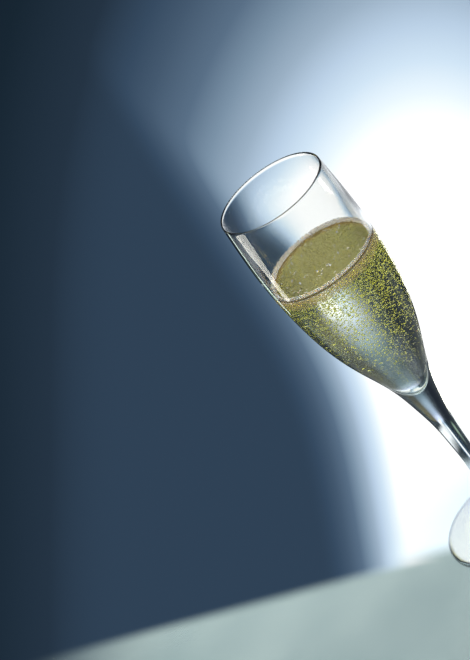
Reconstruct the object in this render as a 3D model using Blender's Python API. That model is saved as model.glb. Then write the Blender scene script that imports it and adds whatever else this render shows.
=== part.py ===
"""A stemmed flute of sparkling white wine, standing upright on its foot.

Metres, +Z up. The origin is the centre of the foot on the table, and the axis of the glass is the Z axis.
Two solids: the drinking glass, turned from one half-section, and the wine that fills its bowl.
"""

import math

import bmesh
import bpy
import numpy as np

# Driving sizes of the glass
HEIGHT = 0.196
RIM_RADIUS = 0.025
RIM_WALL = 0.0011
FOOT_RADIUS = 0.033
FOOT_EDGE = 0.0016
FOOT_RING_INNER = 0.0235
UNDERSIDE_RISE = 0.0018
BOWL_FLOOR = 0.0797

# Driving sizes of the wine
FILL_LEVEL = 0.157
WINE_GAP = 0.0003
COLLAR_WIDTH = 0.0024
COLLAR_RISE = 0.0010
COLLAR_RELIEF = 0.00035

# How finely the round shapes are divided
GLASS_SEGMENTS = 60
WINE_SEGMENTS = 72
ARC_STEPS = 6

# Points (radius, height) that the outside passes through, from the foot's edge up to just under the rim
FOOT_AND_STEM = [
    (0.0240, 0.0026),
    (0.0150, 0.0040),
    (0.0090, 0.0066),
    (0.0056, 0.0115),
    (0.0041, 0.0210),
    (0.0036, 0.0360),
    (0.0039, 0.0470),
    (0.0048, 0.0606),
    (0.0065, 0.0712),
]
BOWL_OUTSIDE = [
    (0.0098, 0.0862),
    (0.0165, 0.1043),
    (0.0211, 0.1190),
    (0.0242, 0.1358),
    (0.0258, 0.1522),
    (0.0263, 0.1690),
    (0.02575, 0.1835),
]
# The same for the inside, from just above the bowl's floor up to just under the rim: the wall thickens downwards
BOWL_INSIDE = [
    (0.0023, 0.0808),
    (0.0047, 0.0845),
    (0.0089, 0.0944),
    (0.0140, 0.1053),
    (0.0195, 0.1190),
    (0.0229, 0.1340),
    (0.0246, 0.1500),
    (0.0251, 0.1690),
    (0.02465, 0.1835),
]


def start_clean():
    """Removes whatever the scene holds."""
    for obj in list(bpy.data.objects):
        bpy.data.objects.remove(obj)


def spline(points, step, first_slope=None):
    """Points about step apart on the natural cubic spline through points, taken along its chords.

    first_slope, if given, is the unit direction in which the curve leaves its first point.
    """
    knots = np.array(points)
    along = np.concatenate([[0.0], np.cumsum(np.linalg.norm(np.diff(knots, axis=0), axis=1))])
    gaps = np.diff(along)
    chords = np.diff(knots, axis=0) / gaps[:, None]
    count = len(knots)
    matrix = np.eye(count)
    bends = np.zeros((count, 2))
    for i in range(1, count - 1):
        matrix[i, i - 1 : i + 2] = gaps[i - 1], 2 * (gaps[i - 1] + gaps[i]), gaps[i]
        bends[i] = 6 * (chords[i] - chords[i - 1])
    if first_slope is not None:
        matrix[0, :2] = 2 * gaps[0], gaps[0]
        bends[0] = 6 * (chords[0] - np.array(first_slope))
    seconds = np.linalg.solve(matrix, bends)
    curve = []
    for i, gap in enumerate(gaps):
        slope = chords[i] - gap * (2 * seconds[i] + seconds[i + 1]) / 6
        cube = (seconds[i + 1] - seconds[i]) / (6 * gap)
        for s in np.linspace(0, gap, max(1, round(gap / step)), endpoint=False):
            curve.append(knots[i] + s * slope + s * s * seconds[i] / 2 + s**3 * cube)
    return [*curve, knots[-1]]


def arc(centre, radius, start, end):
    """Points on a circle about centre, from the angle start to end, in degrees from the outward radius."""
    turns = np.radians(np.linspace(start, end, ARC_STEPS + 1))
    return [np.array((centre[0] + radius * math.cos(t), centre[1] + radius * math.sin(t))) for t in turns]


def underside():
    """The shallow hollow under the foot and the flat ring it stands on, from the axis outwards."""
    steps = np.linspace(0, 1, 4)
    hollow = [np.array((FOOT_RING_INNER * s, UNDERSIDE_RISE * (1 - s * s))) for s in steps]
    return hollow


def bowl_inside(step):
    """The inside of the bowl, from the middle of its floor up to the lip."""
    lip = (RIM_RADIUS - RIM_WALL, HEIGHT - RIM_WALL / 2)
    return spline([(0.0, BOWL_FLOOR), *BOWL_INSIDE, lip], step, first_slope=(1, 0))


def glass_section():
    """The half-section of the glass: under the foot, up the outside, over the lip and down the inside."""
    edge = FOOT_EDGE / 2
    lip = RIM_WALL / 2
    foot_edge = arc((FOOT_RADIUS - edge, edge), edge, -90, 90)
    outside = spline([foot_edge[-1], *FOOT_AND_STEM, *BOWL_OUTSIDE, (RIM_RADIUS, HEIGHT - lip)], 0.0065)
    rim = arc((RIM_RADIUS - lip, HEIGHT - lip), lip, 0, 180)
    inside = bowl_inside(0.0070)[::-1]
    return [*underside(), *foot_edge, *outside[1:], *rim[1:], *inside[1:]]


def wine_side():
    """The side of the wine, from its lowest point up to its surface: the bowl's inside less the gap."""
    wall = np.array(bowl_inside(0.0050))
    along = np.gradient(wall, axis=0)
    along /= np.linalg.norm(along, axis=1)[:, None]
    side = wall + WINE_GAP * np.stack([-along[:, 1], along[:, 0]], axis=1)
    side[0] = 0.0, BOWL_FLOOR + WINE_GAP
    top = np.interp(FILL_LEVEL, side[:, 1], side[:, 0]), FILL_LEVEL
    return [*side[side[:, 1] < FILL_LEVEL - WINE_GAP], np.array(top)]


def turned(name, section, segments, material):
    """A closed solid turned about Z from a half-section whose two ends lie on the axis."""
    mesh = bpy.data.meshes.new(name)
    shape = bmesh.new()
    verts = [shape.verts.new((r, 0, z)) for r, z in section]
    edges = [shape.edges.new(pair) for pair in zip(verts, verts[1:])]
    bmesh.ops.spin(
        shape,
        geom=verts + edges,
        cent=(0, 0, 0),
        axis=(0, 0, 1),
        angle=2 * math.pi,
        steps=segments,
    )
    bmesh.ops.remove_doubles(shape, verts=shape.verts, dist=1e-6)
    bmesh.ops.dissolve_degenerate(shape, edges=shape.edges, dist=1e-7)
    bmesh.ops.recalc_face_normals(shape, faces=shape.faces)
    shape.to_mesh(mesh)
    shape.free()
    mesh.shade_smooth()
    mesh.set_sharp_from_angle(angle=math.radians(50))
    mesh.materials.append(material)
    obj = bpy.data.objects.new(name, mesh)
    bpy.context.collection.objects.link(obj)
    return obj


def roughen_collar(wine, wall_radius):
    """Raises the vertices of the bead collar by uneven, bubble-sized amounts that repeat round the wall."""
    for vert in wine.data.vertices:
        x, y, z = vert.co
        if z > FILL_LEVEL + COLLAR_RISE / 3 and math.hypot(x, y) < wall_radius:
            turn = math.atan2(y, x)
            bump = math.sin(31 * turn) + math.sin(47 * turn + 1.3) + math.sin(13 * turn + 0.4)
            vert.co.z += COLLAR_RELIEF * bump / 3


def make_material(name, colour, roughness, transmission, ior):
    """A plain clear material of that colour."""
    material = bpy.data.materials.new(name)
    material.use_nodes = True
    shader = material.node_tree.nodes["Principled BSDF"]
    shader.inputs["Base Color"].default_value = (*colour, 1)
    shader.inputs["Roughness"].default_value = roughness
    shader.inputs["Metallic"].default_value = 0
    shader.inputs["Transmission Weight"].default_value = transmission
    shader.inputs["IOR"].default_value = ior
    return material


def make_glass():
    """The flute: foot, drawn stem and tulip bowl in one piece."""
    clear = make_material("clear_glass", (0.96, 0.98, 0.98), 0.02, 1.0, 1.5)
    return turned("glass", glass_section(), GLASS_SEGMENTS, clear)


def make_wine():
    """The wine up to its level, with the raised collar of bubbles that clings to the wall."""
    gold = make_material("pale_gold_wine", (0.90, 0.84, 0.42), 0.05, 0.9, 1.34)
    side = wine_side()
    wall_radius = side[-1][0]
    inner = wall_radius - COLLAR_WIDTH
    collar = [
        np.array((wall_radius, FILL_LEVEL + COLLAR_RISE)),
        np.array((wall_radius - COLLAR_WIDTH / 3, FILL_LEVEL + COLLAR_RISE)),
        np.array((wall_radius - 2 * COLLAR_WIDTH / 3, FILL_LEVEL + 0.8 * COLLAR_RISE)),
        np.array((inner, FILL_LEVEL)),
    ]
    wine = turned("wine", [*side, *collar, np.array((0.0, FILL_LEVEL))], WINE_SEGMENTS, gold)
    roughen_collar(wine, wall_radius - COLLAR_WIDTH / 6)
    return wine


def main():
    start_clean()
    make_glass()
    make_wine()


main()
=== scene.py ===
"""The looks of a stemmed flute of sparkling white wine: clear glass, wine, bubbles, light and camera.

Metres, +Z up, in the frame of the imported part: the foot's centre is the origin and the glass's axis is Z.
"""

import math

import bmesh
import bpy
import numpy as np
from mathutils import Matrix, Vector


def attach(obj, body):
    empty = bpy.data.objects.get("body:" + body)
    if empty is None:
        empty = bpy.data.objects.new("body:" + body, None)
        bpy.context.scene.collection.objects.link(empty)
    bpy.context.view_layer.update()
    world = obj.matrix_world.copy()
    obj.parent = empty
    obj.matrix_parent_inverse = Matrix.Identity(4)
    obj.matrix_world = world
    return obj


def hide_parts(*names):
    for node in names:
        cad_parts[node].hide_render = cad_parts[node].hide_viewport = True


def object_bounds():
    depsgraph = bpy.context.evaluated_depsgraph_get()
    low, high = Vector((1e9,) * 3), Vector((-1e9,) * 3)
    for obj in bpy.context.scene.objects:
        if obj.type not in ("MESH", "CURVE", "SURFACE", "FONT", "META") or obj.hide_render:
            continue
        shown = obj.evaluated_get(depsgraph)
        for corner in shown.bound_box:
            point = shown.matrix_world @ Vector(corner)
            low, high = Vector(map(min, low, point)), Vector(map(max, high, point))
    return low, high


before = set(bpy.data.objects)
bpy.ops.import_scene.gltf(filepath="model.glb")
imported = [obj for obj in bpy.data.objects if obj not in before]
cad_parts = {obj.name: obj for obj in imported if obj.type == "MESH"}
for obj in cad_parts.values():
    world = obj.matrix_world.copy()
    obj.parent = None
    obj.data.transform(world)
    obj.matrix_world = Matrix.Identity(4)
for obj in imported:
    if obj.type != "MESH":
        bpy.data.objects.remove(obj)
cad_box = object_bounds()
rng = np.random.default_rng(7)

# The picture and its camera: where the middle of the rim shows, and where the camera stands seen from there
PICTURE_WIDTH = 470
PICTURE_HEIGHT = 660
FOCAL_PIXELS = 2800
SENSOR = 36
RIM_PIXEL = (269.8, 192.4)
CAMERA_DISTANCE = 1.166
CAMERA_ELEVATION = math.radians(23.91)
CAMERA_ROLL = math.radians(-37.24)

# How finely the round shapes are turned
SEGMENTS = 192
WALL_STEP = 0.0012
ARC_STEP = 0.0001

# At a corner one side is this many times longer than the other, and sides shorter than ARC_SIDE make an arc
CORNER_RATIO = 3
ARC_SIDE = 0.0006

# From which height the bowl's wall is drawn finer, and what share of its thickness is left at the lip
LIP_START = 0.16
LIP_KEPT = 0.65
LIP_ROUNDING = 0.00055

# The wine against the wall and at its surface
WALL_OVERLAP = 0.00015
MENISCUS_RISE = 0.0004
MENISCUS_REACH = 0.0009

# The bubbles in the wine: how many there are, their usual radius, and how far below the surface they stay
WALL_BUBBLES = 7500
WALL_BUBBLE_RADIUS = 0.00023
LOOSE_BUBBLES = 3000
LOOSE_BUBBLE_RADIUS = 0.0002
BUBBLE_STRINGS = 16
BUBBLE_TOP = 0.0012

# From how far above the bowl's floor there are bubbles, from where they thicken, and over what height
FIRST_BUBBLES = 0.008
THICKENING_START = 0.012
THICKENING = 0.056

# The belt of very fine bubbles: how many, how far below the surface it starts, its height and its depth
BELT_BUBBLES = 9400
BELT_TOP = 0.001
BELT_HEIGHT = 0.0044
BELT_DEPTH = 0.0012

# The collar's rings of beads: distance from the wall, usual radius, share of places filled, and lift
COLLAR_RINGS = [
    (0.0003, 0.00027, 1.0, 0.0),
    (0.0003, 0.00027, 1.0, 0.00045),
    (0.0003, 0.00026, 1.0, 0.0009),
    (0.0003, 0.00024, 0.75, 0.00135),
    (0.0008, 0.00028, 1.0, 0.0),
    (0.0008, 0.00026, 0.9, 0.00045),
    (0.0013, 0.00028, 0.8, 0.0),
    (0.0004, 0.0003, 1.0, -0.0009),
]
COLLAR_WIDTH = 0.0024

# The small groups of beads adrift on the surface
RAFTS = 70
RAFT_SPREAD = 0.0005

# The table: its reach, how far below the foot it lies, the way inwards from its back edge, how far along that
# way from the foot's centre the edge runs, and the darkest and palest tones of its grain
TABLE_RADIUS = 0.3
TABLE_DROP = 0.00005
TABLE_FACING = (-0.6, -0.8, 0)
TABLE_EDGE = 0.016
TABLE_DARK = (0.195, 0.264, 0.283)
TABLE_PALE = (0.25, 0.324, 0.342)

# The faint light of the table itself, of the pool behind the foot and of the pool right under it
TABLE_LIGHT = (0.01, 0.012, 0.012)
POOL_LIGHT = (0.56, 0.62, 0.72)
FOOT_LIGHT = (0.62, 0.69, 0.84)

# The white glow behind the glass, in pixels of the picture, and the lines to the left of which it is dark
GLOW_PIXEL = (430, 330)
GLOW_TALLNESS = 1.6
GLOW_REACH = 600
SHADE_REACH = 0.6
SHADE_LINE_UPPER = ((215, 170), (350, 380))
SHADE_LINE_LOWER = ((350, 380), (385, 590))

# Other tones of the surroundings: low bands that show only through the glass, and what lies below and above
RIGHT_BAND = (1.15, 1.2, 1.25)
RIGHT_CORNER = (0.95, 0.98, 1.0)
GREEN_LINE = (0.3, 0.42, 0.32)
GREEN_LINE_TURN = 27.0
FLOOR_GLOW = (0.3, 0.34, 0.34)
LEFT_DUSK = (0.009, 0.014, 0.024)
RAISED_COLOUR = (0.2, 0.24, 0.28)
RAISED_SIDES = (0.09, 0.11, 0.14)
OVERHEAD_COLOUR = (0.3, 0.31, 0.32)

# The far card behind the glass: its place, its reach in degrees and the tone of its brown right part
CARD_DISTANCE = 8.0
CARD_AIM = 0.125
CARD_ELEVATION = math.radians(-18)
CARD_HALF_WIDTH = 48
CARD_LOW = -6.0
CARD_HIGH = 14.0
CARD_MIDDLE = 7.5
CARD_BROWN_MIDDLE = 30.0
CARD_BROWN = (0.12, 0.1, 0.03)

# Colours of the lamps
LEMON_LIGHT = (1.0, 0.94, 0.36)
CREAM_LIGHT = (1.0, 0.96, 0.84)
GREENISH_LIGHT = (0.85, 1.0, 0.9)

# Between which heights in the wine the picture's own grain comes in, how far above the level it goes on, and
# how much of it is kept
GRAIN_HEIGHTS = (0.1, 0.125)
GRAIN_ABOVE = 0.0025
GRAIN_KEPT = 0.75

# Indices of refraction
GLASS_IOR = 1.5
WINE_IOR = 1.34


def half_section(node):
    """(radius, height) of a turned node's half-section, from its end on the axis below to the one above."""
    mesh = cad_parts[node].data
    spots = {}
    for vert in mesh.vertices:
        if abs(vert.co.y) < 1e-5 and vert.co.x > -1e-5:
            spots[vert.index] = (round(abs(vert.co.x), 5), round(vert.co.z, 6))
    beside = {spot: set() for spot in spots.values()}
    for edge in mesh.edges:
        a, b = (spots.get(i) for i in edge.vertices)
        if a and b and a != b:
            beside[a].add(b)
            beside[b].add(a)
    here = min((spot for spot in beside if spot[0] == 0), key=lambda spot: spot[1])
    path = [here]
    while ahead := beside[here] - set(path):
        here = min(ahead)
        path.append(here)
    return np.array(path)


def spline(points, step):
    """Points about step apart on the natural cubic spline through points, taken along its chords."""
    along = np.concatenate([[0.0], np.cumsum(np.linalg.norm(np.diff(points, axis=0), axis=1))])
    gaps = np.diff(along)
    chords = np.diff(points, axis=0) / gaps[:, None]
    count = len(points)
    matrix = np.eye(count)
    bends = np.zeros((count, 2))
    for i in range(1, count - 1):
        matrix[i, i - 1 : i + 2] = gaps[i - 1], 2 * (gaps[i - 1] + gaps[i]), gaps[i]
        bends[i] = 6 * (chords[i] - chords[i - 1])
    seconds = np.linalg.solve(matrix, bends)
    curve = []
    for i, gap in enumerate(gaps):
        slope = chords[i] - gap * (2 * seconds[i] + seconds[i + 1]) / 6
        cube = (seconds[i + 1] - seconds[i]) / (6 * gap)
        for s in np.linspace(0, gap, max(1, round(gap / step)), endpoint=False):
            curve.append(points[i] + s * slope + s * s * seconds[i] / 2 + s**3 * cube)
    return np.array([*curve, points[-1]])


def smooth_runs(path):
    """The runs of a half-section between its corners, each made fine.

    Corners are where long and short sides meet, and the points on the ground.
    """
    sides = np.linalg.norm(np.diff(path, axis=0), axis=1)
    corners = [0]
    for i in range(1, len(path) - 1):
        uneven = max(sides[i - 1], sides[i]) > CORNER_RATIO * min(sides[i - 1], sides[i])
        standing = path[i][1] < 1e-6
        if uneven or standing:
            corners.append(i)
    corners.append(len(path) - 1)
    runs = []
    for start, end in zip(corners, corners[1:]):
        run = path[start : end + 1]
        step = ARC_STEP if sides[start] < ARC_SIDE else WALL_STEP
        ends_on_axis = run[-1][0] == 0 and len(run) > 2
        if ends_on_axis:
            mirrored = run[-2:-5:-1] * (-1, 1)
            whole = spline(np.concatenate([run, mirrored]), step)
            last = int(np.argmin(np.abs(whole[:, 0]) + (whole[:, 1] > run[-1][1] + 0.001)))
            fine = np.concatenate([whole[:last], [run[-1]]])
        else:
            fine = spline(run, step)
        runs.append(fine)
    return runs


def new_piece(name, verts, faces, material):
    """A smooth-shaded mesh object that moves with the part's one body."""
    mesh = bpy.data.meshes.new(name)
    mesh.from_pydata(verts, [], faces)
    mesh.shade_smooth()
    mesh.materials.append(material)
    piece = bpy.data.objects.new(name, mesh)
    bpy.context.collection.objects.link(piece)
    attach(piece, "root")
    return piece


def turned(name, section, material):
    """A closed solid turned about Z from a half-section that starts and ends on the axis."""
    turns = np.linspace(0, 2 * math.pi, SEGMENTS, endpoint=False)
    rings = section[1:-1]
    verts = [(0.0, 0.0, section[0][1])]
    for r, z in rings:
        verts += [(r * math.cos(t), r * math.sin(t), z) for t in turns]
    verts.append((0.0, 0.0, section[-1][1]))
    top = len(verts) - 1
    last_ring = 1 + (len(rings) - 1) * SEGMENTS
    faces = []
    for k in range(SEGMENTS):
        after = (k + 1) % SEGMENTS
        faces.append((0, 1 + after, 1 + k))
        faces.append((top, last_ring + k, last_ring + after))
        for i in range(len(rings) - 1):
            low = 1 + i * SEGMENTS
            high = low + SEGMENTS
            faces.append((low + k, low + after, high + after, high + k))
    return new_piece(name, verts, faces, material)


def ball(detail):
    """Vertices and triangles of a unit ball: 20 triangles at detail 1 and 80 at detail 2."""
    shape = bmesh.new()
    bmesh.ops.create_icosphere(shape, subdivisions=detail, radius=1)
    verts = np.array([v.co[:] for v in shape.verts])
    faces = np.array([[v.index for v in f.verts] for f in shape.faces])
    shape.free()
    return verts, faces


def joined_balls(name, centres, radii, detail, material):
    """Many balls joined in one mesh."""
    verts, faces = ball(detail)
    centres = np.asarray(centres)
    radii = np.asarray(radii)
    all_verts = (verts[None] * radii[:, None, None] + centres[:, None]).reshape(-1, 3)
    all_faces = (faces[None] + (np.arange(len(radii)) * len(verts))[:, None, None]).reshape(-1, 3)
    return new_piece(name, all_verts.tolist(), all_faces.tolist(), material)


def wire(tree, kind, inputs=None, **settings):
    """A node with its settings made and its inputs given as values or as other nodes' outputs."""
    node = tree.nodes.new(kind)
    for key, value in settings.items():
        setattr(node, key, value)
    for name, value in (inputs or {}).items():
        if isinstance(value, bpy.types.NodeSocket):
            tree.links.new(value, node.inputs[name])
        else:
            node.inputs[name].default_value = value
    return node


def math_of(tree, operation, first, second=0.0):
    """The result of one Math node."""
    return wire(tree, "ShaderNodeMath", {0: first, 1: second}, operation=operation).outputs[0]


def product_of(tree, first, second):
    """first times second."""
    return math_of(tree, "MULTIPLY", first, second)


def ranged(tree, value, low, high, to_low=0.0, to_high=1.0):
    """value eased from to_low at low to to_high at high."""
    inputs = {"Value": value, "From Min": low, "From Max": high, "To Min": to_low, "To Max": to_high}
    return wire(tree, "ShaderNodeMapRange", inputs, interpolation_type="SMOOTHSTEP").outputs["Result"]


def between(tree, value, start, full, fading, end):
    """1 where value lies from full to fading, eased to 0 at start and at end."""
    return product_of(tree, ranged(tree, value, start, full), ranged(tree, value, fading, end, 1.0, 0.0))


def mix_of(tree, share, first, second):
    """The colour first where share is 0 and second where it is 1."""
    inputs = {"Factor": share, "A": first, "B": second}
    for key in "AB":
        if not isinstance(inputs[key], bpy.types.NodeSocket):
            inputs[key] = (*inputs[key], 1)
    node = tree.nodes.new("ShaderNodeMix")
    node.data_type = "RGBA"
    sockets = {"Factor": node.inputs[0], "A": node.inputs[6], "B": node.inputs[7]}
    for key, value in inputs.items():
        if isinstance(value, bpy.types.NodeSocket):
            tree.links.new(value, sockets[key])
        else:
            sockets[key].default_value = value
    return node.outputs[2]


def ranged_evenly(tree, value, low, high):
    """value in equal steps from 0 at low to 1 at high."""
    inputs = {"Value": value, "From Min": low, "From Max": high}
    return wire(tree, "ShaderNodeMapRange", inputs, interpolation_type="LINEAR").outputs["Result"]


def scaled(tree, colour, share):
    """The colour times share."""
    inputs = {0: colour, "Scale": share}
    return wire(tree, "ShaderNodeVectorMath", inputs, operation="SCALE").outputs["Vector"]


def ramp(tree, value, stops):
    """A colour ramp through (place, colour) stops."""
    node = wire(tree, "ShaderNodeValToRGB", {"Fac": value})
    elements = node.color_ramp.elements
    while len(elements) < len(stops):
        elements.new(0.5)
    for element, (place, colour) in zip(elements, stops):
        element.position = place
        element.color = (*colour, 1)
    return node.outputs["Color"]


def noise_of(tree, place, scale, detail):
    """Noise of that scale and detail at place."""
    inputs = {"Vector": place, "Scale": scale, "Detail": detail}
    return wire(tree, "ShaderNodeTexNoise", inputs).outputs["Fac"]


def new_material(name):
    """A node material with its tree, its Principled shader and its output."""
    material = bpy.data.materials.new(name)
    material.use_nodes = True
    tree = material.node_tree
    return material, tree, tree.nodes["Principled BSDF"], tree.nodes["Material Output"]


def absorb(tree, output, colour, density):
    """Light is lost to that colour on its way through the solid."""
    inside = wire(tree, "ShaderNodeVolumeAbsorption", {"Color": (*colour, 1), "Density": density})
    tree.links.new(inside.outputs["Volume"], output.inputs["Volume"])


def glass_material():
    """Polished clear glass, faintly green where it is thick, with the slight waviness of a drawn piece."""
    material, tree, shader, output = new_material("clear_glass")
    place = wire(tree, "ShaderNodeTexCoord").outputs["Object"]
    smears = noise_of(tree, place, 90.0, 4.0)
    waves = noise_of(tree, place, 45.0, 1.0)
    bump = wire(tree, "ShaderNodeBump", {"Height": waves, "Strength": 0.06, "Distance": 0.0002})
    tint = ramp(tree, smears, [(0.0, (0.97, 0.99, 0.985)), (1.0, (0.995, 1.0, 0.998))])
    tree.links.new(tint, shader.inputs["Base Color"])
    tree.links.new(ranged(tree, smears, 0.45, 0.8, 0.0, 0.012), shader.inputs["Roughness"])
    tree.links.new(bump.outputs["Normal"], shader.inputs["Normal"])
    shader.inputs["Transmission Weight"].default_value = 1
    shader.inputs["IOR"].default_value = GLASS_IOR
    absorb(tree, output, (0.72, 0.9, 0.84), 12)
    return material


def wine_material(level):
    """Clear straw-gold wine, its surface ruffled a little by bubbles and tinted a darker brown as painted
    shade.
    """
    material, tree, shader, output = new_material("sparkling_wine")
    place = wire(tree, "ShaderNodeTexCoord").outputs["Object"]
    height = wire(tree, "ShaderNodeSeparateXYZ", {"Vector": place}).outputs["Z"]
    at_surface = ranged(tree, height, level - 0.0005, level)
    ripples = noise_of(tree, place, 260.0, 3.0)
    shiver = product_of(tree, ripples, at_surface)
    bump = wire(tree, "ShaderNodeBump", {"Height": shiver, "Strength": 0.25, "Distance": 0.0004})
    tint = ramp(tree, ripples, [(0.3, (0.99, 0.98, 0.93)), (0.7, (1.0, 1.0, 0.98))])
    # Painted shade: the surface is tinted a darker brown, standing in for the dim olive look that the light
    # around gives it
    painted_surface_shade = ramp(tree, ripples, [(0.3, (0.17, 0.1, 0.01)), (0.7, (0.34, 0.22, 0.035))])
    tree.links.new(mix_of(tree, at_surface, tint, painted_surface_shade), shader.inputs["Base Color"])
    tree.links.new(bump.outputs["Normal"], shader.inputs["Normal"])
    shader.inputs["Roughness"].default_value = 0
    shader.inputs["Transmission Weight"].default_value = 1
    shader.inputs["IOR"].default_value = WINE_IOR
    absorb(tree, output, (0.95, 0.95, 0.66), 12)
    return material


def bubble_material():
    """A bubble of gas in the wine, where light speeds up: so its index is the inverse of the wine's."""
    material, tree, shader, output = new_material("gas_bubble")
    tree.nodes.remove(shader)
    chance = wire(tree, "ShaderNodeNewGeometry").outputs["Random Per Island"]
    # Painted glint colour: gas has none of its own, and the lemon and pale tints stand in for the gold light
    # the bubbles catch
    lemon, pale, clear = (1.0, 0.99, 0.42), (0.98, 1.0, 0.66), (1.0, 1.0, 0.92)
    tint = ramp(tree, chance, [(0.0, lemon), (0.7, pale), (1.0, clear)])
    gas = wire(tree, "ShaderNodeBsdfGlass", {"Color": tint, "Roughness": 0.0, "IOR": 1 / WINE_IOR})
    tree.links.new(gas.outputs["BSDF"], output.inputs["Surface"])
    return material


def belt_material():
    """Very fine bubbles that bend and scatter the light, so that they look like an olive-brown haze.

    Their faint own light stands in for what reaches them through the curved glass.
    """
    material, tree, shader, output = new_material("fine_bubbles")
    tree.nodes.remove(shader)
    chance = wire(tree, "ShaderNodeNewGeometry").outputs["Random Per Island"]
    tint = ramp(tree, chance, [(0.0, (0.78, 0.66, 0.38)), (1.0, (0.98, 0.9, 0.66))])
    straw = (1, 0.96, 0.75, 1)
    gas = wire(tree, "ShaderNodeBsdfGlass", {"Color": straw, "Roughness": 0.0, "IOR": 1 / WINE_IOR})
    front = wire(tree, "ShaderNodeBsdfDiffuse", {"Color": tint})
    back = wire(tree, "ShaderNodeBsdfTranslucent", {"Color": tint})
    haze = wire(tree, "ShaderNodeMixShader", {0: 0.5, 1: front.outputs[0], 2: back.outputs[0]})
    both = wire(tree, "ShaderNodeMixShader", {0: 0.55, 1: gas.outputs[0], 2: haze.outputs[0]})
    glow = wire(tree, "ShaderNodeEmission", {"Color": tint, "Strength": 0.11})
    shining = wire(tree, "ShaderNodeAddShader", {0: both.outputs[0], 1: glow.outputs[0]})
    tree.links.new(shining.outputs[0], output.inputs["Surface"])
    return material


def bead_material():
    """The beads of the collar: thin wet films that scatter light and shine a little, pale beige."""
    material, tree, shader, output = new_material("bead_foam")
    chance = wire(tree, "ShaderNodeNewGeometry").outputs["Random Per Island"]
    dark, middle, light = (0.86, 0.76, 0.6), (0.97, 0.9, 0.79), (1.0, 0.98, 0.93)
    tint = ramp(tree, chance, [(0.0, dark), (0.5, middle), (1.0, light)])
    tree.links.new(tint, shader.inputs["Base Color"])
    # Painted glow: a faint light of their own stands in for the light that reaches the beads through the
    # glass
    tree.links.new(tint, shader.inputs["Emission Color"])
    shader.inputs["Emission Strength"].default_value = 0.1
    shader.inputs["Roughness"].default_value = 0.15
    shader.inputs["Subsurface Weight"].default_value = 0.8
    shader.inputs["Subsurface Radius"].default_value = (1.0, 0.85, 0.65)
    shader.inputs["Subsurface Scale"].default_value = 0.0006
    shader.inputs["IOR"].default_value = 1.3
    return material


def with_fine_lip(section):
    """The half-section with its wall drawn finer towards the rim, from the inside."""
    height = section[:, 1]
    top = int(np.argmax(height))
    outside = section[:top][height[:top] > LIP_START - WALL_STEP]
    outer = np.interp(np.minimum(height, height[top] - LIP_ROUNDING), outside[:, 1], outside[:, 0])
    share = ((height - LIP_START) / (height[top] - LIP_START)).clip(0, 1)
    kept = 1 - (1 - LIP_KEPT) * share * share * (3 - 2 * share)
    return np.column_stack([outer - (outer - section[:, 0]) * kept, height])


def make_glass(runs, material):
    """The whole drinking glass, finely turned from the smoothed half-section."""
    section = np.concatenate([runs[0], *(run[1:] for run in runs[1:])])
    section = with_fine_lip(section)
    piece = turned("glass_flute", section, material)
    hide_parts("glass")


def inner_wall(runs):
    """The bowl's inside from the middle of its floor up to the lip, as (radius, height) rows."""
    return runs[-1][::-1]


def make_wine(wall, level, material):
    """The wine, reaching just into the wall, with its surface drawn up where it wets the glass."""
    along = np.gradient(wall, axis=0)
    along /= np.linalg.norm(along, axis=1)[:, None]
    side = wall + WALL_OVERLAP * np.stack([along[:, 1], -along[:, 0]], axis=1)
    side[0] = 0.0, wall[0][1] - WALL_OVERLAP
    top = level + MENISCUS_RISE
    side = side[side[:, 1] < top - WALL_STEP / 4]
    edge = np.interp(top, wall[:, 1], wall[:, 0])
    rim = [(edge + WALL_OVERLAP, top)]
    steps = np.concatenate([np.linspace(0, 4 * MENISCUS_REACH, 25), np.linspace(0.006, edge - 0.001, 8)])
    surface = [(edge - s, level + MENISCUS_RISE * math.exp(-s / MENISCUS_REACH)) for s in steps]
    section = np.array([*side, *rim, *surface, (0.0, level)])
    piece = turned("wine_body", section, material)
    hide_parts("wine")


def wall_place(wall, height, turn, depth):
    """Points at those heights and turns, depth away from the wall towards the inside of the bowl."""
    along = np.gradient(wall, axis=0)
    along /= np.linalg.norm(along, axis=1)[:, None]
    r = np.interp(height, wall[:, 1], wall[:, 0])
    lean_r = np.interp(height, wall[:, 1], along[:, 0])
    lean_z = np.interp(height, wall[:, 1], along[:, 1])
    r = r - depth * lean_z
    z = height + depth * lean_r
    return np.stack([r * np.cos(turn), r * np.sin(turn), z], axis=1)


def clear_of_wall(radius):
    """How far from the wall the centre of a bubble lies that all but touches it."""
    return radius * 1.05 + 0.00001


def heights_up_to(level, floor, count):
    """Heights of at most that many bubbles: few near the bowl's floor, and evenly thick higher up."""
    tries = 4 * count
    height = rng.uniform(floor + FIRST_BUBBLES, level - BUBBLE_TOP, tries)
    share = ((height - floor - THICKENING_START) / THICKENING).clip(0, 1) ** 2
    kept = height[rng.uniform(0, 1, tries) < share]
    return kept[:count]


def make_wall_bubbles(wall, level, material):
    """Bubbles that cling to the inside of the bowl."""
    height = heights_up_to(level, wall[0][1], WALL_BUBBLES)
    radius = rng.lognormal(math.log(WALL_BUBBLE_RADIUS), 0.28, len(height)).clip(0.00012, 0.0004)
    turn = rng.uniform(0, 2 * math.pi, len(height))
    centres = wall_place(wall, height, turn, clear_of_wall(radius))
    piece = joined_balls("wall_bubbles", centres, radius, 1, material)


def make_belt(wall, level, material):
    """The hazy belt of very fine bubbles just under the surface."""
    height = level - BELT_TOP - BELT_HEIGHT * rng.uniform(0, 1, BELT_BUBBLES) ** 1.4
    radius = rng.uniform(0.00011, 0.00021, BELT_BUBBLES)
    turn = rng.uniform(0, 2 * math.pi, BELT_BUBBLES)
    depth = clear_of_wall(radius) + BELT_DEPTH * rng.uniform(0, 1, BELT_BUBBLES) ** 2
    piece = joined_balls("belt_bubbles", wall_place(wall, height, turn, depth), radius, 1, material)


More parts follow.
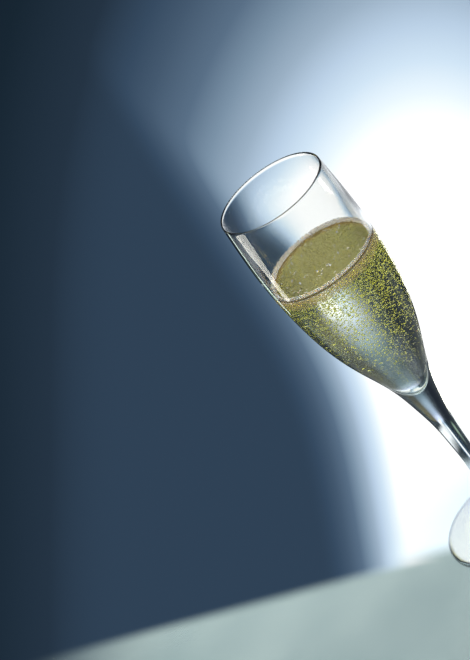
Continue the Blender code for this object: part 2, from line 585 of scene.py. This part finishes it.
def loose_bubbles(wall, level):
    """Centres and radii of bubbles loose all through the wine."""
    height = heights_up_to(level - 0.001, wall[0][1], LOOSE_BUBBLES)
    count = len(height)
    room = np.interp(height, wall[:, 1], wall[:, 0]) - 0.0012
    reach = room * np.sqrt(rng.uniform(0, 1, count))
    turn = rng.uniform(0, 2 * math.pi, count)
    centres = np.stack([reach * np.cos(turn), reach * np.sin(turn), height], axis=1)
    radii = rng.lognormal(math.log(LOOSE_BUBBLE_RADIUS), 0.25, count).clip(0.0001, 0.00035)
    return centres, radii


def bubble_string(wall, level):
    """Centres and radii of one string of bubbles, which part and grow as they rise."""
    start = wall[0][1] + 0.003 + 0.03 * rng.uniform() ** 2
    room = np.interp(start, wall[:, 1], wall[:, 0]) - 0.0008
    reach = room * rng.uniform(0.3, 1.0)
    turn = rng.uniform(0, 2 * math.pi)
    z = [start]
    while z[-1] < level - 0.001:
        z.append(z[-1] + 0.0009 + 0.03 * (z[-1] - start))
    z = np.array(z[:-1])
    drift = 0.00012 * rng.standard_normal((len(z), 2))
    x = reach * math.cos(turn) + drift[:, 0]
    y = reach * math.sin(turn) + drift[:, 1]
    radii = 0.00011 + 0.0025 * (z - start) * rng.uniform(0.8, 1.1)
    return np.column_stack([x, y, z]), radii


def make_rising_bubbles(wall, level, material):
    """Bubbles on their way up: loose ones, and strings that start low on the wall."""
    groups = [loose_bubbles(wall, level)]
    for _ in range(BUBBLE_STRINGS):
        groups.append(bubble_string(wall, level))
    centres = np.concatenate([group[0] for group in groups])
    radii = np.concatenate([group[1] for group in groups])
    piece = joined_balls("rising_bubbles", centres, radii, 1, material)


def make_collar(wall, level, material):
    """The collar of beads along the wall where the wine meets the glass: rings side by side and stacked."""
    centres = []
    radii = []
    edge = np.interp(level, wall[:, 1], wall[:, 0])
    for number, (inset, mean, share, lift) in enumerate(COLLAR_RINGS):
        turn = number
        while turn < number + 2 * math.pi:
            radius = mean * rng.uniform(0.65, 1.2)
            if rng.uniform() < share:
                s = inset + rng.uniform(0, 0.0002)
                z = level + MENISCUS_RISE * math.exp(-s / MENISCUS_REACH) + 0.25 * radius + lift
                r = edge - s
                centres.append((r * math.cos(turn), r * math.sin(turn), z))
                radii.append(min(radius, s))
            turn += 2.0 * radius / edge
    piece = joined_balls("collar_beads", centres, radii, 2, material)


def make_surface_bubbles(wall, level, material):
    """Single beads and small rafts of them adrift on the surface, most of them near the wall."""
    edge = np.interp(level, wall[:, 1], wall[:, 0]) - COLLAR_WIDTH
    centres = []
    radii = []
    for _ in range(RAFTS):
        reach = edge * rng.uniform() ** 0.3
        turn = rng.uniform(0, 2 * math.pi)
        for _ in range(rng.integers(1, 5)):
            radius = rng.uniform(0.00014, 0.00032)
            drift = rng.normal(0, RAFT_SPREAD, 2)
            x = reach * math.cos(turn) + drift[0]
            y = reach * math.sin(turn) + drift[1]
            if math.hypot(x, y) < edge:
                centres.append((x, y, level + 0.3 * radius))
                radii.append(radius)
    piece = joined_balls("surface_bubbles", centres, radii, 2, material)


def table_material():
    """A pale glossy table top that fades away outwards, with a pool of light under and behind the foot.

    The pool stands in for the light that the glass gathers there.
    """
    material, tree, shader, output = new_material("pale_table")
    place = wire(tree, "ShaderNodeTexCoord").outputs["Object"]
    grain = noise_of(tree, place, 14.0, 5.0)
    tint = ramp(tree, grain, [(0.35, TABLE_DARK), (0.65, TABLE_PALE)])
    tree.links.new(tint, shader.inputs["Base Color"])
    tree.links.new(ranged(tree, grain, 0.3, 0.7, 0.18, 0.3), shader.inputs["Roughness"])

    far = wire(tree, "ShaderNodeVectorMath", {0: place}, operation="LENGTH").outputs["Value"]
    nearer = along_axis(tree, place, TABLE_FACING, TABLE_EDGE)
    ring = between(tree, far, 0.01, 0.026, 0.045, 0.1)
    lit = product_of(tree, ring, ranged(tree, nearer, -0.01, 0.004, 1.0, 0.0))
    pool = mix_of(tree, lit, TABLE_LIGHT, POOL_LIGHT)
    below_foot = between(tree, far, 0.01, 0.02, 0.0305, 0.032)
    tree.links.new(mix_of(tree, below_foot, pool, FOOT_LIGHT), shader.inputs["Emission Color"])
    shader.inputs["Emission Strength"].default_value = 1.0

    spot = ranged(tree, far, 0.036, 0.075, 1.0, 0.0)
    on_table = ranged(tree, nearer, -0.006, 0.006)
    front = product_of(tree, on_table, ranged(tree, far, 0.18, TABLE_RADIUS, 1.0, 0.0))
    tree.links.new(math_of(tree, "MAXIMUM", spot, front), shader.inputs["Alpha"])
    return material


def make_floor():
    """The table top, a hair below the foot."""
    shape = bmesh.new()
    bmesh.ops.create_circle(shape, cap_ends=True, radius=TABLE_RADIUS, segments=96)
    mesh = bpy.data.meshes.new("floor")
    shape.to_mesh(mesh)
    shape.free()
    mesh.materials.append(table_material())
    floor = bpy.data.objects.new("floor", mesh)
    floor.location.z = -TABLE_DROP
    bpy.context.collection.objects.link(floor)


def picture_axes(rim_height):
    """The camera's place, and the directions of its right, up and back as the columns of a matrix."""
    back = Vector((0, -math.cos(CAMERA_ELEVATION), math.sin(CAMERA_ELEVATION)))
    right = Vector((1, 0, 0))
    level = Matrix((right, back.cross(right), back)).transposed()
    x = (RIM_PIXEL[0] - PICTURE_WIDTH / 2) / FOCAL_PIXELS
    y = (PICTURE_HEIGHT / 2 - RIM_PIXEL[1]) / FOCAL_PIXELS
    aim = Vector((x, y, -1)).rotation_difference(Vector((0, 0, -1))).to_matrix()
    place = Vector((0, 0, rim_height)) + back * CAMERA_DISTANCE
    return place, level @ Matrix.Rotation(CAMERA_ROLL, 3, "Z") @ aim


def along_axis(tree, heading, axis, start=0.0, scale=1.0):
    """How far heading reaches along axis, less start, times scale."""
    inputs = {0: heading, 1: tuple(axis)}
    reach = wire(tree, "ShaderNodeVectorMath", inputs, operation="DOT_PRODUCT").outputs["Value"]
    return product_of(tree, math_of(tree, "SUBTRACT", reach, start), scale)


def length_of(tree, first, second):
    """The length of a flat vector with those two parts."""
    squares = math_of(tree, "ADD", product_of(tree, first, first), product_of(tree, second, second))
    return math_of(tree, "SQRT", squares)


def beyond_line(tree, x, y, line):
    """How many pixels (x, y) lies to the left of a line that runs down the picture."""
    (x0, y0), (x1, y1) = line
    size = math.hypot(x1 - x0, y1 - y0)
    across, down = (y0 - y1) / size, (x1 - x0) / size
    sideways = product_of(tree, math_of(tree, "SUBTRACT", x, x0), across)
    downwards = product_of(tree, math_of(tree, "SUBTRACT", y, y0), down)
    return math_of(tree, "ADD", sideways, downwards)


def glow_of(tree, heading, axes):
    """The backdrop's colour: a white glow behind the glass on the right that falls off to dark blue."""
    x = along_axis(tree, heading, axes.col[0], -PICTURE_WIDTH / 2 / FOCAL_PIXELS, FOCAL_PIXELS)
    y = along_axis(tree, heading, -axes.col[1], -PICTURE_HEIGHT / 2 / FOCAL_PIXELS, FOCAL_PIXELS)
    across = math_of(tree, "SUBTRACT", x, GLOW_PIXEL[0])
    above = math_of(tree, "MINIMUM", math_of(tree, "SUBTRACT", y, GLOW_PIXEL[1]), 0.0)
    distance = length_of(tree, across, product_of(tree, above, 1 / GLOW_TALLNESS))
    away = product_of(tree, distance, 1 / GLOW_REACH)
    upper = beyond_line(tree, x, y, SHADE_LINE_UPPER)
    lower = beyond_line(tree, x, y, SHADE_LINE_LOWER)
    beyond = wire(tree, "ShaderNodeMath", {0: upper, 1: lower, 2: 60.0}, operation="SMOOTH_MIN").outputs[0]
    shade = ranged(tree, beyond, -45.0, 60.0, 0.2, SHADE_REACH)
    reach = wire(tree, "ShaderNodeMath", {0: away, 1: shade, 2: 0.12}, operation="SMOOTH_MAX").outputs[0]
    stops = [
        (0.22, (1.15, 1.15, 1.15)),
        (0.25, (0.84, 0.95, 1.02)),
        (0.28, (0.64, 0.79, 0.93)),
        (0.315, (0.5, 0.64, 0.8)),
        (0.358, (0.33, 0.44, 0.56)),
        (0.41, (0.2, 0.29, 0.39)),
        (0.46, (0.1, 0.16, 0.24)),
        (0.525, (0.058, 0.1, 0.16)),
        (0.57, (0.037, 0.07, 0.12)),
        (0.64, (0.018, 0.034, 0.057)),
        (0.76, (0.009, 0.02, 0.033)),
        (0.9, (0.006, 0.012, 0.022)),
        (1.0, (0.025, 0.033, 0.046)),
    ]
    return ramp(tree, reach, stops)


def room_of(tree, rise):
    """The plain room away from the backdrop: grey, a little lighter below."""
    stops = [
        (0.0, (0.08, 0.09, 0.09)),
        (0.1, (0.13, 0.145, 0.145)),
        (0.33, (0.12, 0.135, 0.14)),
        (0.4, (0.1, 0.12, 0.135)),
        (0.52, (0.08, 0.1, 0.12)),
        (0.64, (0.05, 0.062, 0.09)),
        (1.0, (0.05, 0.062, 0.09)),
    ]
    return ramp(tree, ranged_evenly(tree, rise, -60.0, 40.0), stops)


def make_world(axes):
    """Studio surroundings: the backdrop with its glow, and a dim room round it.

    turn and rise are a direction's degrees to the right of the backdrop's middle and above the level.
    The low bands, the corner and the dusk lie where the eye only looks through the stem and the wine.
    """
    world = bpy.data.worlds.new("studio")
    bpy.context.scene.world = world
    world.use_nodes = True
    tree = world.node_tree
    background = tree.nodes["Background"]
    heading = wire(tree, "ShaderNodeTexCoord").outputs["Generated"]
    parts = wire(tree, "ShaderNodeSeparateXYZ", {"Vector": heading})
    azimuth = math_of(tree, "ARCTAN2", parts.outputs["X"], parts.outputs["Y"])
    elevation = math_of(tree, "ARCSINE", parts.outputs["Z"])
    turn = product_of(tree, azimuth, math.degrees(1))
    rise = product_of(tree, elevation, math.degrees(1))
    sideways = math_of(tree, "ABSOLUTE", turn)

    low_band = between(tree, rise, -28.0, -26.0, -24.6, -21.2)
    to_right = between(tree, turn, 9.0, 14.0, 50.0, 60.0)
    lit = mix_of(tree, product_of(tree, low_band, to_right), glow_of(tree, heading, axes), RIGHT_BAND)
    off_line = math_of(tree, "ABSOLUTE", math_of(tree, "ADD", turn, GREEN_LINE_TURN))
    to_left = ranged(tree, off_line, 3.0, 7.0, 1.0, 0.0)
    lined = mix_of(tree, product_of(tree, low_band, to_left), lit, GREEN_LINE)
    corner_turn = between(tree, turn, 6.5, 8.5, 15.0, 20.0)
    corner_rise = between(tree, rise, -28.0, -25.0, -21.5, -19.5)
    brightened = mix_of(tree, product_of(tree, corner_turn, corner_rise), lined, RIGHT_CORNER)

    middle_floor = ranged(tree, rise, -40.0, -34.5, 1.0, 0.0)
    side_rise = ranged(tree, rise, -38.0, -28.0, 1.0, 0.0)
    side_floor = product_of(tree, side_rise, ranged(tree, sideways, 45.0, 60.0))
    below = math_of(tree, "MAXIMUM", middle_floor, side_floor)
    grounded = mix_of(tree, below, brightened, FLOOR_GLOW)
    dusk_rise = between(tree, rise, -26.0, -22.0, -10.0, -6.0)
    dusk_turn = between(tree, turn, -60.0, -45.0, -17.0, -12.0)
    darkened = mix_of(tree, product_of(tree, dusk_rise, dusk_turn), grounded, LEFT_DUSK)
    upper = mix_of(tree, ranged(tree, sideways, 15.0, 30.0), RAISED_COLOUR, RAISED_SIDES)
    raised = mix_of(tree, ranged(tree, rise, -4.0, 14.0), darkened, upper)
    overhead = mix_of(tree, ranged(tree, rise, 30.0, 50.0), raised, OVERHEAD_COLOUR)
    mixed = mix_of(tree, ranged(tree, sideways, 60.0, 110.0), overhead, room_of(tree, rise))
    tree.links.new(mixed, background.inputs["Color"])
    background.inputs["Strength"].default_value = 1.0


def card_material():
    """Light added to the backdrop's: a white column that fades upwards, and a brown patch right of it.

    turn and rise are degrees across the card from its middle, as seen from the glass.
    """
    material, tree, shader, output = new_material("glow_card")
    tree.nodes.remove(shader)
    place = wire(tree, "ShaderNodeTexCoord").outputs["Object"]
    parts = wire(tree, "ShaderNodeSeparateXYZ", {"Vector": place})
    degrees = math.degrees(1 / CARD_DISTANCE)
    turn = product_of(tree, parts.outputs["X"], degrees)
    rise = product_of(tree, parts.outputs["Y"], degrees)
    stops = [
        (0.05, (0.0, 0.0, 0.0)),
        (0.13, (0.75, 0.82, 1.05)),
        (0.2, (0.75, 0.82, 1.05)),
        (0.26, (0.44, 0.52, 0.68)),
        (0.33, (0.36, 0.46, 0.56)),
        (0.42, (0.18, 0.25, 0.3)),
        (0.6, (0.08, 0.12, 0.14)),
        (0.75, (0.03, 0.05, 0.06)),
        (1.0, (0.0, 0.0, 0.0)),
    ]
    middle = ramp(tree, ranged_evenly(tree, rise, CARD_LOW, CARD_HIGH), stops)
    off_middle = math_of(tree, "ABSOLUTE", math_of(tree, "SUBTRACT", turn, CARD_MIDDLE))
    width = ranged(tree, off_middle, 2.0, 17.0, 1.0, 0.0)
    white = scaled(tree, middle, width)
    off_brown = math_of(tree, "ABSOLUTE", math_of(tree, "SUBTRACT", turn, CARD_BROWN_MIDDLE))
    brown_width = ranged(tree, off_brown, 6.0, 18.0, 1.0, 0.0)
    brown_height = product_of(tree, ranged(tree, rise, -4.4, -3.4), ranged(tree, rise, -1.0, 3.0, 1.0, 0.4))
    brown = scaled(tree, CARD_BROWN, product_of(tree, brown_width, brown_height))
    both = wire(tree, "ShaderNodeVectorMath", {0: white, 1: brown}, operation="ADD").outputs["Vector"]
    light = wire(tree, "ShaderNodeEmission", {"Color": both, "Strength": 1.0})
    clear = wire(tree, "ShaderNodeBsdfTransparent")
    added = wire(tree, "ShaderNodeAddShader", {0: light.outputs[0], 1: clear.outputs[0]})
    tree.links.new(added.outputs[0], output.inputs["Surface"])
    return material


def make_glow_card():
    """A far card whose soft light only reaches the eye through the wine and the stem.

    It stands behind the glass, just above the part of the backdrop that shows beside it.
    """
    half = CARD_DISTANCE * math.tan(math.radians(CARD_HALF_WIDTH))
    low = CARD_DISTANCE * math.radians(CARD_LOW)
    high = CARD_DISTANCE * math.radians(CARD_HIGH)
    corners = [(-half, low, 0), (half, low, 0), (half, high, 0), (-half, high, 0)]
    mesh = bpy.data.meshes.new("glow_card")
    mesh.from_pydata(corners, [], [(0, 1, 2, 3)])
    mesh.materials.append(card_material())
    card = bpy.data.objects.new("glow_card", mesh)
    heading = Vector((0, math.cos(CARD_ELEVATION), math.sin(CARD_ELEVATION)))
    card.location = Vector((0, 0, CARD_AIM)) + CARD_DISTANCE * heading
    card.rotation_euler = (math.radians(90) + CARD_ELEVATION, 0, 0)
    card.visible_camera = False
    card.visible_diffuse = False
    card.visible_glossy = False
    bpy.context.collection.objects.link(card)


def make_light(
    name, place, target, size, power, colour=(1, 1, 1), through=True, off=True, shape="RECTANGLE"
):
    """A soft lamp at place that faces target.

    through and off say if it shows through the glass and as a reflection off it.
    """
    data = bpy.data.lights.new(name, "AREA")
    data.shape = shape
    data.size, data.size_y = size
    data.energy = power
    data.color = colour
    lamp = bpy.data.objects.new(name, data)
    lamp.location = place
    lamp.rotation_mode = "QUATERNION"
    lamp.rotation_quaternion = (Vector(target) - Vector(place)).to_track_quat("-Z", "Y")
    lamp.visible_camera = False
    lamp.visible_transmission = through
    lamp.visible_glossy = off
    bpy.context.collection.objects.link(lamp)


def make_lamps():
    """A large lamp above, a small one further back for the beads, a lemon one behind, and two at the left."""
    make_light("top", (0.1, 0.1, 0.9), (0, 0, 0.1), (0.9, 0.9), 8, through=False)
    make_light("top_back", (0.05, 0.45, 0.75), (0, 0, 0.15), (0.3, 0.3), 6, through=False, off=False)
    make_light("behind", (-0.25, 0.87, 0.42), (0, 0, 0.13), (1.3, 0.8), 6.2, LEMON_LIGHT, off=False)
    make_light(
        "cream_left",
        (-0.9, 0.35, -0.1),
        (0, 0, -0.1),
        (0.5, 0.48),
        3.2,
        CREAM_LIGHT,
        off=False,
        shape="ELLIPSE",
    )
    make_light(
        "edge_left",
        (-0.57, 0.82, -0.15),
        (0, 0, 0.0),
        (0.08, 0.45),
        0.35,
        GREENISH_LIGHT,
        through=False,
    )


def make_camera(place, axes):
    """A camera that looks down on the rim, rolled, so that the glass leans to the left."""
    data = bpy.data.cameras.new("camera")
    data.sensor_width = SENSOR
    data.lens = FOCAL_PIXELS * SENSOR / PICTURE_HEIGHT
    data.clip_start = 0.05
    data.clip_end = 20
    camera = bpy.data.objects.new("camera", data)
    camera.location = place
    camera.rotation_mode = "QUATERNION"
    camera.rotation_quaternion = axes.to_quaternion()
    bpy.context.collection.objects.link(camera)
    bpy.context.scene.camera = camera


def join_pictures(level):
    """Cleans the render's grain everywhere but in the wine, whose fine bubbles cleaning would smear."""
    scene = bpy.context.scene
    layer = scene.view_layers[0]
    layer.use_pass_position = True
    scene.use_nodes = True
    tree = scene.node_tree
    tree.nodes.clear()
    layers = tree.nodes.new("CompositorNodeRLayers")
    clean = tree.nodes.new("CompositorNodeDenoise")
    tree.links.new(layers.outputs["Image"], clean.inputs["Image"])
    place = tree.nodes.new("CompositorNodeSeparateXYZ")
    tree.links.new(layers.outputs["Position"], place.inputs[0])
    rising = tree.nodes.new("CompositorNodeMapRange")
    tree.links.new(place.outputs["Z"], rising.inputs[0])
    rising.inputs[1].default_value, rising.inputs[2].default_value = GRAIN_HEIGHTS
    rising.inputs[4].default_value = GRAIN_KEPT
    rising.use_clamp = True
    under = tree.nodes.new("CompositorNodeMath")
    under.operation = "LESS_THAN"
    tree.links.new(place.outputs["Z"], under.inputs[0])
    under.inputs[1].default_value = level + GRAIN_ABOVE
    share = tree.nodes.new("CompositorNodeMath")
    share.operation = "MULTIPLY"
    tree.links.new(rising.outputs[0], share.inputs[0])
    tree.links.new(under.outputs[0], share.inputs[1])
    mix = tree.nodes.new("CompositorNodeMixRGB")
    tree.links.new(share.outputs[0], mix.inputs[0])
    tree.links.new(clean.outputs[0], mix.inputs[1])
    tree.links.new(layers.outputs["Image"], mix.inputs[2])
    final = tree.nodes.new("CompositorNodeComposite")
    tree.links.new(mix.outputs[0], final.inputs["Image"])


def set_light_paths():
    """Plain colours, and paths long enough to get through the glass, the wine and many bubbles."""
    scene = bpy.context.scene
    scene.view_settings.view_transform = "Standard"
    scene.cycles.use_denoising = False
    scene.cycles.sample_clamp_indirect = 8
    scene.cycles.max_bounces = 32
    scene.cycles.transmission_bounces = 32
    scene.cycles.glossy_bounces = 12
    scene.cycles.transparent_max_bounces = 16


def main():
    set_light_paths()
    rim_height = cad_box[1].z
    level = half_section("wine")[-1][1]
    runs = smooth_runs(half_section("glass"))
    wall = inner_wall(runs)

    make_glass(runs, glass_material())
    make_wine(wall, level, wine_material(level))
    gas = bubble_material()
    make_wall_bubbles(wall, level, gas)
    make_belt(wall, level, belt_material())
    make_rising_bubbles(wall, level, gas)
    foam = bead_material()
    make_collar(wall, level, foam)
    make_surface_bubbles(wall, level, foam)

    make_floor()
    place, axes = picture_axes(rim_height)
    make_camera(place, axes)
    make_world(axes)
    make_glow_card()
    make_lamps()
    join_pictures(level)


main()
